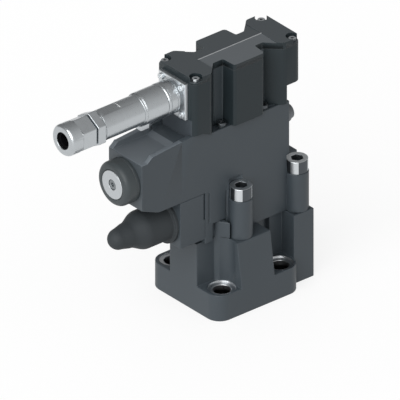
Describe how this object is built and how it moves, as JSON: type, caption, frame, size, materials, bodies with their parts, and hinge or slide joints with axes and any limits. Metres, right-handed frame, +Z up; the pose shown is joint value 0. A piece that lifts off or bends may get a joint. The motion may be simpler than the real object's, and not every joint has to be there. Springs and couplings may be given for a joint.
{
  "type": "proportional pressure relief valve",
  "caption": "Pilot-operated proportional pressure relief valve with on-board driver and plug, for subplate mounting.",
  "frame": {"origin": "centre of the four mounting bolts, on the mounting face", "axes": "+Z up from the mounting face through the main stage and the driver; the solenoid, the limiter boot and the plug point to -X; Y runs across"},
  "size_m": [0.2098, 0.076, 0.195],
  "materials": {
    "cast_black": "satin black paint over a fine cast texture",
    "driver_black": "satin black coated die casting",
    "rubber": "matt black rubber",
    "moulded_black": "matt black moulded plastic",
    "zinc_steel": "bright zinc-plated steel",
    "nickel": "nickel-plated, satin bright",
    "ground_steel": "ground hardened steel",
    "dark_steel": "blackened steel",
    "copper": "enamelled copper winding",
    "board": "green solder mask",
    "gold": "gold-plated contacts"
  },
  "bodies": {
    "valve": {"main_flange": "cast_black", "main_column": "cast_black", "main_tail": "cast_black", "port_seals": "rubber", "main_sleeve": "dark_steel", "main_spring": "ground_steel", "orifice_plug": "ground_steel", "gallery_plug": "dark_steel", "joint_seals": "rubber", "pilot_body": "cast_black", "clamp_screws": "zinc_steel", "limiter_block": "cast_black", "limiter_cartridge": "dark_steel", "limiter_seat": "ground_steel", "limiter_spring": "ground_steel", "drain_plug": "dark_steel", "gauge_plug": "zinc_steel", "pilot_seat": "ground_steel", "pilot_spring": "ground_steel", "pole_tube": "ground_steel", "coil_winding": "copper", "coil_bobbin": "moulded_black", "solenoid_housing": "cast_black", "end_disc": "zinc_steel", "driver_housing": "driver_black", "driver_gasket": "rubber", "driver_lid": "driver_black", "lid_screws": "zinc_steel", "foot_screws": "zinc_steel", "circuit_board": "board", "socket_flange": "nickel", "socket_screws": "zinc_steel", "socket_insert": "moulded_black", "contact_pins": "gold"},
    "main_poppet": {"main_poppet": "ground_steel"},
    "limiter_poppet": {"limiter_poppet": "ground_steel"},
    "spring_cup": {"spring_cup": "dark_steel"},
    "adjust_spindle": {"adjust_spindle": "ground_steel"},
    "lock_nut": {"lock_nut": "zinc_steel"},
    "limiter_boot": {"limiter_boot": "rubber"},
    "pilot_cone": {"pilot_cone": "ground_steel", "push_rod": "ground_steel", "armature": "dark_steel"},
    "end_nut": {"end_nut": "moulded_black"},
    "bleed_screw": {"bleed_screw": "zinc_steel"},
    "plug": {"plug_sleeve": "nickel", "plug_insert": "moulded_black", "plug_lug": "nickel", "plug_barrel": "nickel", "gland_collar": "nickel", "gland_seal": "rubber"},
    "coupling_nut": {"coupling_nut": "nickel"},
    "gland_nut": {"gland_nut": "nickel"}
  },
  "joints": [
    {"name": "main_poppet_lift", "type": "slide", "parent": "valve", "child": "main_poppet", "axis": [0, 0, 1], "range_m": [0, 0.004], "stiffness_N_per_m": 3000, "springref_m": -0.002, "deforming": ["main_spring"]},
    {"name": "limiter_poppet_lift", "type": "slide", "parent": "valve", "child": "limiter_poppet", "axis": [-1, 0, 0], "range_m": [0, 0.0015], "stiffness_N_per_m": 2000, "springref_m": -0.002, "deforming": ["limiter_spring"]},
    {"name": "spring_cup_travel", "type": "slide", "parent": "valve", "child": "spring_cup", "axis": [1, 0, 0], "range_m": [-0.0015, 0.004]},
    {"name": "spindle_turn", "type": "hinge", "parent": "spring_cup", "child": "adjust_spindle", "pos_m": [-0.07, 0, 0.0758], "axis": [1, 0, 0], "range_deg": [-433, 1153]},
    {"name": "lock_nut_turn", "type": "hinge", "parent": "valve", "child": "lock_nut", "pos_m": [-0.0665, 0, 0.0758], "axis": [-1, 0, 0], "range_deg": [0, 360]},
    {"name": "boot_pull_off", "type": "slide", "parent": "valve", "child": "limiter_boot", "axis": [-1, 0, 0], "range_m": [0, 0.055]},
    {"name": "pilot_cone_lift", "type": "slide", "parent": "valve", "child": "pilot_cone", "axis": [-1, 0, 0], "range_m": [0, 0.0015], "stiffness_N_per_m": 1000, "springref_m": -0.002, "deforming": ["pilot_spring"]},
    {"name": "end_nut_turn", "type": "hinge", "parent": "valve", "child": "end_nut", "pos_m": [-0.099, 0, 0.122], "axis": [-1, 0, 0], "range_deg": [0, 720]},
    {"name": "bleed_screw_turn", "type": "hinge", "parent": "valve", "child": "bleed_screw", "pos_m": [-0.104, 0, 0.122], "axis": [-1, 0, 0], "range_deg": [0, 720]},
    {"name": "plug_pull_off", "type": "slide", "parent": "valve", "child": "plug", "axis": [-1, 0, 0], "range_m": [0, 0.022]},
    {"name": "coupling_nut_turn", "type": "hinge", "parent": "plug", "child": "coupling_nut", "pos_m": [-0.057, 0, 0.1748], "axis": [-1, 0, 0], "continuous": true},
    {"name": "gland_nut_turn", "type": "hinge", "parent": "plug", "child": "gland_nut", "pos_m": [-0.14, 0, 0.1748], "axis": [-1, 0, 0], "range_deg": [0, 1080]}
  ],
  "couplings": [
    {"joint": "spindle_turn", "follows": "spring_cup_travel", "rad_per_m": 5026.5}
  ]
}
